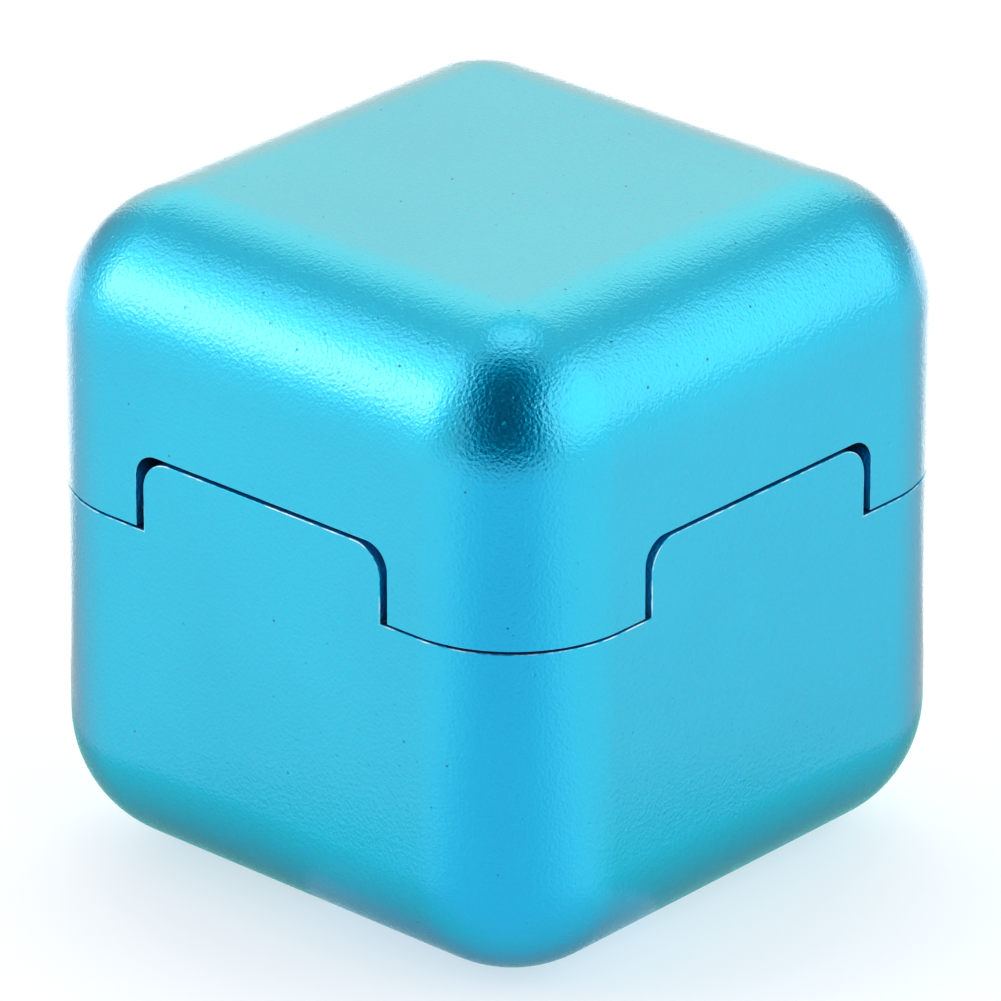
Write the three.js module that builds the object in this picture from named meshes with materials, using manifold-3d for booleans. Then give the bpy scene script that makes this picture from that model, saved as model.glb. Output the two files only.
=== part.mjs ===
// Fidget cube: two anodised aluminium half-shells whose castellated rims lock together.
// A steel spindle is screwed to the lower shell. The upper shell hangs on a ball bearing that slides up the
// spindle against a spring, so it is pulled up until its legs clear the tongues, twisted by a quarter turn,
// and let go to snap shut. Four pairs of magnets sharpen the snap, and a rubber ring softens the landing.
// Millimetres, +Z up, origin at the centre of the flat underside.
import * as THREE from "three";
import { mergeVertices } from "three/addons/utils/BufferGeometryUtils.js";
import { RoundedBoxGeometry } from "three/addons/geometries/RoundedBoxGeometry.js";
import Module from "manifold-3d";

const wasm = await Module();
wasm.setup();

// ---- Driving dimensions: the cube ----
const EDGE = 33; // side of the cube in X and Y
const HEIGHT = 33.7;
const CORNER_RADIUS = 6.6; // on every edge and corner

// ---- Driving dimensions: the castellated seam ----
const SHOULDER_Z = 18.8; // the lower shell's shoulders, at the cube's four upright edges
const TONGUE_HEIGHT = 3.8; // the lower shell's tongues, at the middle of each side
const TONGUE_WIDTH = 15.2;
const TONGUE_CORNER = 1.6;
const NOTCH_CORNER = 1.3;
const SHOULDER_GAP = 0.12; // under the upper shell's legs
const TONGUE_GAP = 0.2; // over a tongue
const FLANK_GAP = 0.45; // on each side of a tongue
const TONGUE_TOP = SHOULDER_Z + TONGUE_HEIGHT;
const LEG_BOTTOM = SHOULDER_Z + SHOULDER_GAP;
const NOTCH_TOP = TONGUE_TOP + TONGUE_GAP;

// ---- Driving dimensions: the hollows in the shells ----
const FLOOR_Z = 10; // bottom of the lower shell's bore
const LOWER_BORE_RADIUS = 11.5;
const FLANGE_RECESS_RADIUS = 11.2;
const FLANGE_RECESS_TOP = NOTCH_TOP + 0.6;
const SPRING_CHAMBER_RADIUS = 6.4;
const CEILING_Z = 30; // top of the spring chamber

// ---- Driving dimensions: the bearing, a miniature one of 1/4 by 1/2 by 3/16 inch ----
const BEARING_BORE_RADIUS = 3.175;
const BEARING_OUTER_RADIUS = 6.35;
const BEARING_WIDTH = 4.76;
const PITCH_RADIUS = (BEARING_BORE_RADIUS + BEARING_OUTER_RADIUS) / 2;
const BALL_COUNT = 8;
const BALL_RADIUS = 0.77;
const GROOVE_RADIUS = 0.83;
const INNER_LAND_RADIUS = 4.1;
const OUTER_LAND_RADIUS = 5.42;
const CAGE = { innerRadius: 4.3, outerRadius: 5.2, halfHeight: 1.2, pocketRadius: 0.86 };
const SHIELD = { boreRadius: 4.25, outerRadius: 5.58, thickness: 0.2, inset: 0.15, clearance: 0.04 };

// ---- Driving dimensions: the spindle and the carrier that slides along it ----
const SPINDLE_RADIUS = 3.15;
const SPINDLE_HEAD = { radius: 4.6, height: 1.2, chamfer: 0.4 };
const SPINDLE_TOP = CEILING_Z - 0.4;
const SPIGOT = { radius: 2.6, halfAcrossFlats: 2.3, bottom: 4.5, clearance: 0.05 }; // the spindle's foot
const BUMPER = { innerRadius: 3.4, outerRadius: 6.9, thickness: 1.2, edge: 0.3, gap: 0.1 };
const CUP = { radius: 7.4, lipRadius: 5.6, lipThickness: 0.8, clearance: 0.03 };
const FLANGE_RADIUS = 11.1;
const FLANGE_THICKNESS = 2;

// ---- Driving dimensions: the return spring between two washers ----
const WASHER_BORE_RADIUS = 3.25;
const THRUST_WASHER = { radius: 4.08, thickness: 0.5 };
const SEAT_WASHER = { radius: 4.5, thickness: 0.6 };
const SPRING = { meanRadius: 3.7, wireRadius: 0.3, turns: 6, closedTurns: 0.8, clearance: 0.02 };

// ---- Heights that follow from those ----
const CUP_BOTTOM = FLOOR_Z + BUMPER.thickness + BUMPER.gap;
const BEARING_BOTTOM = CUP_BOTTOM + CUP.lipThickness;
const BEARING_MIDDLE = BEARING_BOTTOM + BEARING_WIDTH / 2;
const BEARING_TOP = BEARING_BOTTOM + BEARING_WIDTH;
const FLANGE_BOTTOM = FLANGE_RECESS_TOP - FLANGE_THICKNESS;
const SPRING_BOTTOM = BEARING_TOP + THRUST_WASHER.thickness;
const HEAD_BOTTOM = SPINDLE_TOP - SPINDLE_HEAD.height;
const SPRING_TOP = HEAD_BOTTOM - SEAT_WASHER.thickness;

// ---- Driving dimensions: screws and magnets ----
const BASE_SCREW = { headRadius: 2.9, shankRadius: 1.45, rim: 0.15, headZ: 0.25, topZ: 9.2, clearance: 0.15 };
const BASE_SOCKET = { radius: 1.15, depth: 1.2 }; // hexagonal
const CARRIER_SCREW = { headRadius: 1.7, headHeight: 1.3, shankRadius: 1, length: 6, clearance: 0.15 };
const CARRIER_SOCKET = { radius: 0.75, depth: 0.7 }; // hexagonal
const CARRIER_SCREW_CIRCLE = 9.3; // radius
const TAPPED_CLEARANCE = 0.05;
const TAPPED_SPARE = 0.6; // depth of a tapped hole past its screw's end
const MAGNET = { radius: 2, thickness: 2, recess: 0.1, clearance: 0.05 };
const MAGNET_CIRCLE = 15.84; // radius

// ---- Fineness ----
const CORNER_STEPS = 4; // facets in half a rounded edge
const ROUND_STEPS = 32; // facets round a turned piece
const BORE_STEPS = 64;
const SMALL_STEPS = 20; // facets round a small screw, its hole or a magnet
const CUT = 4; // how far a cutting tool runs past the face it starts from
const QUARTERS = [0, 1, 2, 3];

// ---- Materials ----
const anodised = new THREE.MeshStandardMaterial({ color: 0x22b4dc, roughness: 0.38, metalness: 0.9 });
const aluminium = new THREE.MeshStandardMaterial({ color: 0xc9ccd0, roughness: 0.35, metalness: 1 });
const steel = new THREE.MeshStandardMaterial({ color: 0xb4b6b8, roughness: 0.25, metalness: 1 });
const springSteel = new THREE.MeshStandardMaterial({ color: 0x9a9c9f, roughness: 0.3, metalness: 1 });
const blackSteel = new THREE.MeshStandardMaterial({ color: 0x26272a, roughness: 0.45, metalness: 0.8 });
const nickel = new THREE.MeshStandardMaterial({ color: 0xd2cec6, roughness: 0.15, metalness: 1 });
const brass = new THREE.MeshStandardMaterial({ color: 0xc8a050, roughness: 0.3, metalness: 1 });
const rubber = new THREE.MeshStandardMaterial({ color: 0x2b2b2d, roughness: 0.8, metalness: 0 });

// ---- From geometry to solid and back ----
function solidOf(geometry) {
  const bare = new THREE.BufferGeometry();
  bare.setAttribute("position", geometry.getAttribute("position"));
  bare.setIndex(geometry.getIndex());
  const merged = mergeVertices(bare, 1e-4);
  const index = merged.index.array;
  const triangles = [];
  for (let i = 0; i < index.length; i += 3) {
    const [a, b, c] = [index[i], index[i + 1], index[i + 2]];
    if (a !== b && b !== c && c !== a) triangles.push(a, b, c);
  }
  const mesh = new wasm.Mesh({
    numProp: 3,
    vertProperties: new Float32Array(merged.attributes.position.array),
    triVerts: new Uint32Array(triangles),
  });
  return new wasm.Manifold(mesh);
}

function geometryOf(solid) {
  const mesh = solid.getMesh();
  const geometry = new THREE.BufferGeometry();
  geometry.setAttribute("position", new THREE.BufferAttribute(new Float32Array(mesh.vertProperties), 3));
  geometry.setIndex(new THREE.BufferAttribute(new Uint32Array(mesh.triVerts), 1));
  geometry.computeVertexNormals();
  return geometry;
}

// ---- Basic shapes ----
// A profile of [radius, height] points turned about +Z. It runs anticlockwise, with radius to the right.
function turned(profile, steps = ROUND_STEPS) {
  const points = profile.map(([radius, height]) => new THREE.Vector2(radius, height));
  return new THREE.LatheGeometry(points, steps).rotateX(Math.PI / 2);
}

function ring(innerRadius, outerRadius, bottom, top) {
  const profile = [
    [innerRadius, bottom],
    [outerRadius, bottom],
    [outerRadius, top],
    [innerRadius, top],
    [innerRadius, bottom],
  ];
  return turned(profile);
}

function disc(radius, bottom, top, steps = ROUND_STEPS) {
  const profile = [
    [0, bottom],
    [radius, bottom],
    [radius, top],
    [0, top],
  ];
  return turned(profile, steps);
}

function block(width, depth, bottom, top) {
  return new THREE.BoxGeometry(width, depth, top - bottom).translate(0, 0, (bottom + top) / 2);
}

// The place of the quarter's corner on a circle. They count anticlockwise from the one at +X +Y.
function cornerPlace(quarter, circleRadius) {
  const angle = ((quarter + 0.5) * Math.PI) / 2;
  return [circleRadius * Math.cos(angle), circleRadius * Math.sin(angle)];
}

// A round cutting tool at one of the four corners.
function cornerDrill(quarter, circleRadius, radius, bottom, top) {
  const [x, y] = cornerPlace(quarter, circleRadius);
  return solidOf(disc(radius, bottom, top, SMALL_STEPS).translate(x, y, 0));
}

const cube = new THREE.Group();

function add(name, shape, material, x = 0, y = 0, z = 0) {
  const geometry = shape.isBufferGeometry ? shape : geometryOf(shape);
  const mesh = new THREE.Mesh(geometry, material);
  mesh.name = name;
  mesh.position.set(x, y, z);
  cube.add(mesh);
}

// ---- The shells ----
function roundedCube() {
  const geometry = new RoundedBoxGeometry(EDGE, EDGE, HEIGHT, CORNER_STEPS, CORNER_RADIUS);
  return solidOf(geometry.translate(0, 0, HEIGHT / 2));
}

// A bar right through the cube, with two rounded upper corners. It shapes two opposite tongues or notches.
function castellation(width, bottom, top, corner) {
  const side = width / 2;
  const outline = new THREE.Shape();
  outline.moveTo(-side, bottom);
  outline.lineTo(side, bottom);
  outline.absarc(side - corner, top - corner, corner, 0, Math.PI / 2, false);
  outline.absarc(corner - side, top - corner, corner, Math.PI / 2, Math.PI, false);
  outline.closePath();
  const length = EDGE + 2 * CUT;
  const bar = new THREE.ExtrudeGeometry(outline, { depth: length, bevelEnabled: false, curveSegments: 6 });
  return bar.translate(0, 0, -length / 2).rotateX(Math.PI / 2);
}

// The two bars that cross at right angles.
function castellationCross(...sizes) {
  const alongY = solidOf(castellation(...sizes));
  const alongX = solidOf(castellation(...sizes).rotateZ(Math.PI / 2));
  return alongY.add(alongX);
}

function lowerShell() {
  const width = EDGE + 2 * CUT;
  const shoulders = solidOf(block(width, width, -CUT, SHOULDER_Z));
  const tongues = castellationCross(TONGUE_WIDTH, FLOOR_Z, TONGUE_TOP, TONGUE_CORNER);
  const bore = solidOf(disc(LOWER_BORE_RADIUS, FLOOR_Z, TONGUE_TOP + CUT, BORE_STEPS));
  let shell = roundedCube().intersect(shoulders.add(tongues)).subtract(bore);
  shell = shell.subtract(spigotSocket()).subtract(baseScrewHole());
  const pocketBottom = SHOULDER_Z - MAGNET.recess - MAGNET.thickness - MAGNET.clearance;
  const pocketRadius = MAGNET.radius + MAGNET.clearance;
  for (const quarter of QUARTERS) {
    shell = shell.subtract(cornerDrill(quarter, MAGNET_CIRCLE, pocketRadius, pocketBottom, TONGUE_TOP));
  }
  return shell;
}

// The hole with two flats that keeps the spindle's foot from turning.
function spigotSocket() {
  const round = solidOf(disc(SPIGOT.radius + SPIGOT.clearance, SPIGOT.bottom, FLOOR_Z + CUT));
  const across = 2 * (SPIGOT.halfAcrossFlats + SPIGOT.clearance);
  return round.intersect(solidOf(block(EDGE, across, 0, HEIGHT)));
}

// Countersunk, up into the spigot's socket.
function baseScrewHole() {
  const head = BASE_SCREW.headRadius + BASE_SCREW.clearance;
  const shank = BASE_SCREW.shankRadius + BASE_SCREW.clearance;
  const coneBottom = BASE_SCREW.headZ + BASE_SCREW.rim + BASE_SCREW.clearance / 2;
  const profile = [
    [0, -CUT],
    [head, -CUT],
    [head, coneBottom],
    [shank, coneBottom + head - shank],
    [shank, FLOOR_Z],
    [0, FLOOR_Z],
  ];
  return solidOf(turned(profile));
}

function upperShell() {
  const width = EDGE + 2 * CUT;
  const legs = solidOf(block(width, width, LEG_BOTTOM, HEIGHT + CUT));
  const notches = castellationCross(TONGUE_WIDTH + 2 * FLANK_GAP, 0, NOTCH_TOP, NOTCH_CORNER);
  const flangeRecess = solidOf(disc(FLANGE_RECESS_RADIUS, 0, FLANGE_RECESS_TOP, BORE_STEPS));
  const springChamber = solidOf(disc(SPRING_CHAMBER_RADIUS, 0, CEILING_Z));
  let shell = roundedCube().intersect(legs).subtract(notches);
  shell = shell.subtract(flangeRecess).subtract(springChamber);
  const pocketTop = LEG_BOTTOM + MAGNET.recess + MAGNET.thickness + MAGNET.clearance;
  const pocketRadius = MAGNET.radius + MAGNET.clearance;
  const tappedTop = FLANGE_BOTTOM + CARRIER_SCREW.length + TAPPED_SPARE;
  const tappedRadius = CARRIER_SCREW.shankRadius + TAPPED_CLEARANCE;
  for (const quarter of QUARTERS) {
    shell = shell.subtract(cornerDrill(quarter, MAGNET_CIRCLE, pocketRadius, 0, pocketTop));
    shell = shell.subtract(cornerDrill(quarter, CARRIER_SCREW_CIRCLE, tappedRadius, NOTCH_TOP, tappedTop));
  }
  return shell;
}

add("lower_shell", lowerShell(), anodised);
add("upper_shell", upperShell(), anodised);

// ---- The spindle, its screw and the bumper ----
function spindle() {
  const tappedTop = BASE_SCREW.topZ + TAPPED_SPARE;
  const tappedRadius = BASE_SCREW.shankRadius + TAPPED_CLEARANCE;
  const profile = [
    [0, tappedTop],
    [tappedRadius, tappedTop],
    [tappedRadius, SPIGOT.bottom],
    [SPIGOT.radius, SPIGOT.bottom],
    [SPIGOT.radius, FLOOR_Z],
    [SPINDLE_RADIUS, FLOOR_Z],
    [SPINDLE_RADIUS, HEAD_BOTTOM],
    [SPINDLE_HEAD.radius, HEAD_BOTTOM],
    [SPINDLE_HEAD.radius, SPINDLE_TOP - SPINDLE_HEAD.chamfer],
    [SPINDLE_HEAD.radius - SPINDLE_HEAD.chamfer, SPINDLE_TOP],
    [0, SPINDLE_TOP],
  ];
  const flats = solidOf(block(EDGE, 2 * SPIGOT.halfAcrossFlats, 0, FLOOR_Z));
  const rest = solidOf(block(EDGE, EDGE, FLOOR_Z, HEIGHT));
  return solidOf(turned(profile)).intersect(flats.add(rest));
}

function baseScrew() {
  const { headRadius, shankRadius, rim, headZ, topZ } = BASE_SCREW;
  const profile = [
    [0, headZ],
    [headRadius, headZ],
    [headRadius, headZ + rim],
    [shankRadius, headZ + rim + headRadius - shankRadius],
    [shankRadius, topZ],
    [0, topZ],
  ];
  const hexagon = solidOf(disc(BASE_SOCKET.radius, headZ - CUT, headZ + BASE_SOCKET.depth, 6));
  return solidOf(turned(profile)).subtract(hexagon);
}

function bumperRing() {
  const { innerRadius, outerRadius, thickness, edge } = BUMPER;
  const top = FLOOR_Z + thickness;
  const profile = [
    [innerRadius, FLOOR_Z],
    [outerRadius, FLOOR_Z],
    [outerRadius, top - edge],
    [outerRadius - edge, top],
    [innerRadius + edge, top],
    [innerRadius, top - edge],
    [innerRadius, FLOOR_Z],
  ];
  return turned(profile);
}

add("spindle", spindle(), steel);
add("base_screw", baseScrew(), blackSteel);
add("bumper_ring", bumperRing(), rubber);

// ---- The return spring and its washers ----
// The middle of the wire: a helix whose end turns lie flat.
class SpringLine extends THREE.Curve {
  getPoint(t, target = new THREE.Vector3()) {
    const { meanRadius, wireRadius, turns, closedTurns, clearance } = SPRING;
    const bottom = SPRING_BOTTOM + clearance + wireRadius;
    const top = SPRING_TOP - clearance - wireRadius;
    const endRise = 2 * (wireRadius + clearance) * closedTurns;
    const turn = t * turns;
    const first = Math.min(1, turn / closedTurns);
    const last = Math.max(0, 1 - (turns - turn) / closedTurns);
    const middle = THREE.MathUtils.clamp((turn - closedTurns) / (turns - 2 * closedTurns), 0, 1);
    const height = bottom + endRise * (first + last) + (top - bottom - 2 * endRise) * middle;
    const angle = 2 * Math.PI * turn;
    return target.set(meanRadius * Math.cos(angle), meanRadius * Math.sin(angle), height);
  }
}

function returnSpring() {
  const section = new THREE.Shape().absarc(0, 0, SPRING.wireRadius, 0, 2 * Math.PI, false);
  const line = new SpringLine();
  const steps = 14 * SPRING.turns;
  return new THREE.ExtrudeGeometry(section, { steps, curveSegments: 4, bevelEnabled: false, extrudePath: line });
}

add("return_spring", returnSpring(), springSteel);
add("thrust_washer", ring(WASHER_BORE_RADIUS, THRUST_WASHER.radius, BEARING_TOP, SPRING_BOTTOM), brass);
add("seat_washer", ring(WASHER_BORE_RADIUS, SEAT_WASHER.radius, SPRING_TOP, HEAD_BOTTOM), brass);

// ---- The bearing ----
// The stretch of a ring's ball groove from one angle to another about a ball's centre.
function groove(first, last) {
  const steps = 4;
  return Array.from({ length: steps + 1 }, (_, i) => {
    const angle = first + ((last - first) * i) / steps;
    const radius = PITCH_RADIUS + GROOVE_RADIUS * Math.cos(angle);
    return [radius, BEARING_MIDDLE + GROOVE_RADIUS * Math.sin(angle)];
  });
}

function innerRing() {
  const reach = Math.acos((PITCH_RADIUS - INNER_LAND_RADIUS) / GROOVE_RADIUS);
  const profile = [
    [BEARING_BORE_RADIUS, BEARING_BOTTOM],
    [INNER_LAND_RADIUS, BEARING_BOTTOM],
    ...groove(Math.PI + reach, Math.PI - reach),
    [INNER_LAND_RADIUS, BEARING_TOP],
    [BEARING_BORE_RADIUS, BEARING_TOP],
    [BEARING_BORE_RADIUS, BEARING_BOTTOM],
  ];
  return turned(profile);
}

function outerRing() {
  const reach = Math.acos((OUTER_LAND_RADIUS - PITCH_RADIUS) / GROOVE_RADIUS);
  const seatRadius = SHIELD.outerRadius + SHIELD.clearance;
  const seatDepth = SHIELD.inset + SHIELD.thickness + SHIELD.clearance;
  const profile = [
    [seatRadius, BEARING_BOTTOM],
    [BEARING_OUTER_RADIUS, BEARING_BOTTOM],
    [BEARING_OUTER_RADIUS, BEARING_TOP],
    [seatRadius, BEARING_TOP],
    [seatRadius, BEARING_TOP - seatDepth],
    [OUTER_LAND_RADIUS, BEARING_TOP - seatDepth],
    ...groove(reach, -reach),
    [OUTER_LAND_RADIUS, BEARING_BOTTOM + seatDepth],
    [seatRadius, BEARING_BOTTOM + seatDepth],
    [seatRadius, BEARING_BOTTOM],
  ];
  return turned(profile);
}

function ballAngle(i) {
  return (2 * Math.PI * i) / BALL_COUNT;
}

function bearingCage() {
  const { innerRadius, outerRadius, halfHeight, pocketRadius } = CAGE;
  let cage = solidOf(ring(innerRadius, outerRadius, BEARING_MIDDLE - halfHeight, BEARING_MIDDLE + halfHeight));
  for (let i = 0; i < BALL_COUNT; i++) {
    const pocket = disc(pocketRadius, innerRadius / 2, 2 * outerRadius, 12).rotateY(Math.PI / 2);
    cage = cage.subtract(solidOf(pocket.rotateZ(ballAngle(i)).translate(0, 0, BEARING_MIDDLE)));
  }
  return cage;
}

function shield(bottom) {
  return ring(SHIELD.boreRadius, SHIELD.outerRadius, bottom, bottom + SHIELD.thickness);
}

add("bearing_inner_ring", innerRing(), steel);
add("bearing_outer_ring", outerRing(), steel);
add("bearing_cage", bearingCage(), brass);
add("bearing_shield_lower", shield(BEARING_BOTTOM + SHIELD.inset), steel);
add("bearing_shield_upper", shield(BEARING_TOP - SHIELD.inset - SHIELD.thickness), steel);
for (let i = 0; i < BALL_COUNT; i++) {
  const ball = new THREE.SphereGeometry(BALL_RADIUS, 12, 8);
  const [x, y] = [PITCH_RADIUS * Math.cos(ballAngle(i)), PITCH_RADIUS * Math.sin(ballAngle(i))];
  add(`bearing_ball_${i + 1}`, ball, steel, x, y, BEARING_MIDDLE);
}

// ---- The carrier that hangs the bearing under the upper shell ----
function bearingCarrier() {
  const boreRadius = BEARING_OUTER_RADIUS + CUP.clearance;
  const profile = [
    [CUP.lipRadius, CUP_BOTTOM],
    [CUP.radius, CUP_BOTTOM],
    [CUP.radius, FLANGE_BOTTOM],
    [FLANGE_RADIUS, FLANGE_BOTTOM],
    [FLANGE_RADIUS, FLANGE_RECESS_TOP],
    [boreRadius, FLANGE_RECESS_TOP],
    [boreRadius, BEARING_BOTTOM],
    [CUP.lipRadius, BEARING_BOTTOM],
    [CUP.lipRadius, CUP_BOTTOM],
  ];
  const holeRadius = CARRIER_SCREW.shankRadius + CARRIER_SCREW.clearance;
  let carrier = solidOf(turned(profile));
  for (const quarter of QUARTERS) {
    carrier = carrier.subtract(cornerDrill(quarter, CARRIER_SCREW_CIRCLE, holeRadius, 0, HEIGHT));
  }
  return carrier;
}

// A button-head screw that points up, with its head's seat at height zero.
function carrierScrew() {
  const { headRadius, headHeight, shankRadius, length } = CARRIER_SCREW;
  const profile = [
    [0, -headHeight],
    [headRadius * 0.7, -headHeight],
    [headRadius, -headHeight * 0.6],
    [headRadius, 0],
    [shankRadius, 0],
    [shankRadius, length],
    [0, length],
  ];
  const hexagon = solidOf(disc(CARRIER_SOCKET.radius, -CUT, CARRIER_SOCKET.depth - headHeight, 6));
  return solidOf(turned(profile, SMALL_STEPS)).subtract(hexagon);
}

add("bearing_carrier", bearingCarrier(), aluminium);
for (const quarter of QUARTERS) {
  const [x, y] = cornerPlace(quarter, CARRIER_SCREW_CIRCLE);
  add(`carrier_screw_${quarter + 1}`, carrierScrew(), blackSteel, x, y, FLANGE_BOTTOM);
}

// ---- The magnets: four in the shoulders, and four in the legs above them ----
const lowerMagnetBottom = SHOULDER_Z - MAGNET.recess - MAGNET.thickness;
const upperMagnetBottom = LEG_BOTTOM + MAGNET.recess;
for (const quarter of QUARTERS) {
  const [x, y] = cornerPlace(quarter, MAGNET_CIRCLE);
  const magnet = disc(MAGNET.radius, 0, MAGNET.thickness, SMALL_STEPS);
  add(`lower_magnet_${quarter + 1}`, magnet, nickel, x, y, lowerMagnetBottom);
  add(`upper_magnet_${quarter + 1}`, magnet, nickel, x, y, upperMagnetBottom);
}

export default cube;
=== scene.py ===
import math

import bmesh
import bpy
from mathutils import Matrix, Vector


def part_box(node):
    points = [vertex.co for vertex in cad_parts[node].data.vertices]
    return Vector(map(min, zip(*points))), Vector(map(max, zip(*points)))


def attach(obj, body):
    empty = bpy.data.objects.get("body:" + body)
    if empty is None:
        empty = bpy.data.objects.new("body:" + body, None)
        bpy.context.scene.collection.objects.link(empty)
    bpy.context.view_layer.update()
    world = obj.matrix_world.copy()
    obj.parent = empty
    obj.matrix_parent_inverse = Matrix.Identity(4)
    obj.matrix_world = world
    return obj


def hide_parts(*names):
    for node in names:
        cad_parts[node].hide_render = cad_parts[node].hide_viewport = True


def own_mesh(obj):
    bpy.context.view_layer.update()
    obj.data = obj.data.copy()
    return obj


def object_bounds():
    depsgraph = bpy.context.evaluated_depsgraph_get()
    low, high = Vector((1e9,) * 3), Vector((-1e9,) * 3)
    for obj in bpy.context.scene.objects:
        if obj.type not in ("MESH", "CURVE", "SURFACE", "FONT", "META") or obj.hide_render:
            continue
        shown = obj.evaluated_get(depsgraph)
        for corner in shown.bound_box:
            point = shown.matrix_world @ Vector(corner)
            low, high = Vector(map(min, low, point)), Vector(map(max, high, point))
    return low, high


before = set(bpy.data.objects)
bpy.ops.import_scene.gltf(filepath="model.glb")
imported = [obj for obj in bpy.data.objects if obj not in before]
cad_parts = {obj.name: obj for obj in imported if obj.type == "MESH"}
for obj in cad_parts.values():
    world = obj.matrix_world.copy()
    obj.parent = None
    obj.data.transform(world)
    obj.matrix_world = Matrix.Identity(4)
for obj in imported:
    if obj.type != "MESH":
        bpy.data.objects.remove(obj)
CAD_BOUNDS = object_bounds()
MM = 0.001  # shapes are made in millimetres and scaled to metres last


def extent(node):
    """Lowest and highest corner of a CAD node, in millimetres."""
    low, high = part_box(node)
    return low / MM, high / MM


# ---- Sizes, in millimetres ----
LOWER_LOW, LOWER_HIGH = extent("lower_shell")
UPPER_LOW, UPPER_HIGH = extent("upper_shell")
EDGE = LOWER_HIGH.x - LOWER_LOW.x
HEIGHT = UPPER_HIGH.z
CORNER_RADIUS = 0.2 * EDGE
SHOULDER_GAP = 0.12  # under the upper shell's legs
TONGUE_GAP = 0.2  # over a tongue
FLANK_GAP = 0.45  # on each side of a tongue
LEG_BOTTOM = UPPER_LOW.z
SHOULDER = LEG_BOTTOM - SHOULDER_GAP
TONGUE_TOP = LOWER_HIGH.z
TONGUE_WIDTH = 15.2
TONGUE_CORNER = 1.6
NOTCH_TOP = TONGUE_TOP + TONGUE_GAP
NOTCH_WIDTH = TONGUE_WIDTH + 2 * FLANK_GAP
NOTCH_CORNER = 1.3
SEAM_CHAMFER = 0.07

CARRIER_LOW, CARRIER_HIGH = extent("bearing_carrier")
FLANGE_THICKNESS = 2
FLANGE_BOTTOM = CARRIER_HIGH.z - FLANGE_THICKNESS
FLOOR_OF_BORE = extent("bumper_ring")[0].z
LOWER_BORE_RADIUS = 11.5
FLANGE_RECESS_RADIUS = CARRIER_HIGH.x + 0.1
SPRING_CHAMBER_RADIUS = 6.4
SPINDLE_LOW, SPINDLE_HIGH = extent("spindle")
SPINDLE_RADIUS = 3.15
BUMPER_BORE_RADIUS = 3.4
WASHER_BORE_RADIUS = 3.25
SPIGOT_RADIUS = 2.6
SPIGOT_HALF_ACROSS_FLATS = 2.3
CEILING = SPINDLE_HIGH.z + 0.4
BEARING_LOW, BEARING_HIGH = extent("bearing_outer_ring")
BALL_LOW, BALL_HIGH = extent("bearing_ball_1")
BALL_RADIUS = (BALL_HIGH.x - BALL_LOW.x) / 2
PITCH_RADIUS = (BALL_HIGH.x + BALL_LOW.x) / 2
BEARING_MIDDLE = (BEARING_LOW.z + BEARING_HIGH.z) / 2
BALL_COUNT = 8
GROOVE_RADIUS = BALL_RADIUS + 0.05
SPRING_LOW, SPRING_HIGH = extent("return_spring")
BASE_SHANK_RADIUS = 1.45
BASE_SCREW_RIM = 0.15
CARRIER_SHANK_RADIUS = 1.0
CLOSE_FIT = 0.05  # round the magnets, the spigot and a screw in its tapped hole
SCREW_CLEARANCE = 0.15  # round a screw in a plain hole
TAPPED_SPARE = 0.6  # how far a tapped hole goes past its screw
CUT = 5  # how far a cutting tool runs past the piece
QUARTERS = (1, 2, 3, 4)


# ---- Making and cutting solids, in millimetres ----
def new_piece(bm):
    """Turns a bmesh into an object of the scene, with its normals outwards."""
    bmesh.ops.recalc_face_normals(bm, faces=bm.faces)
    mesh = bpy.data.meshes.new("piece")
    bm.to_mesh(mesh)
    bm.free()
    piece = bpy.data.objects.new("piece", mesh)
    bpy.context.scene.collection.objects.link(piece)
    return piece


def block(low, high, radius=0, steps=1):
    """A box with its lowest and highest corner, and with every edge rounded if it has a radius."""
    bm = bmesh.new()
    bmesh.ops.create_cube(bm, size=1)
    bmesh.ops.scale(bm, vec=high - low, verts=bm.verts)
    bmesh.ops.translate(bm, vec=(low + high) / 2, verts=bm.verts)
    if radius:
        bmesh.ops.bevel(bm, geom=bm.edges[:], offset=radius, segments=steps, profile=0.5, affect="EDGES")
    return new_piece(bm)


def arc(centre, radius, first, last, steps):
    """Points of an arc in a plane, with its angles in degrees."""
    angles = [math.radians(first + (last - first) * i / steps) for i in range(steps + 1)]
    return [(centre[0] + radius * math.cos(a), centre[1] + radius * math.sin(a)) for a in angles]


def castellation(width, bottom, top, corner, turn):
    """A bar right through the cube, with rounded upper corners. It runs along Y, then turns about Z."""
    side = width / 2
    outline = [(-side, bottom), (side, bottom)]
    outline += arc((side - corner, top - corner), corner, 0, 90, 10)
    outline += arc((corner - side, top - corner), corner, 90, 180, 10)
    bm = bmesh.new()
    face = bm.faces.new([bm.verts.new((x, -EDGE, z)) for x, z in outline])
    extruded = bmesh.ops.extrude_face_region(bm, geom=[face])["geom"]
    far = [v for v in extruded if isinstance(v, bmesh.types.BMVert)]
    bmesh.ops.translate(bm, vec=(0, 2 * EDGE, 0), verts=far)
    bmesh.ops.rotate(bm, matrix=Matrix.Rotation(math.radians(turn), 3, "Z"), verts=bm.verts)
    return new_piece(bm)


def softened(profile, radius, steps=3):
    """The profile with its corners rounded, apart from those on the axis."""
    points = []
    count = len(profile)
    closed = profile[0][0] > 0
    crowding = 2.2  # a rounded corner takes less than half of its side
    for i, point in enumerate(profile):
        here = Vector(point)
        if not closed and i in (0, count - 1):
            points.append(tuple(here))
            continue
        before, after = Vector(profile[i - 1]) - here, Vector(profile[(i + 1) % count]) - here
        reach = min(radius, before.length / crowding, after.length / crowding)
        start, end = here + before.normalized() * reach, here + after.normalized() * reach
        for step in range(steps + 1):
            t = step / steps
            points.append(tuple(start * (1 - t) ** 2 + here * 2 * t * (1 - t) + end * t**2))
    return points


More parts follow.
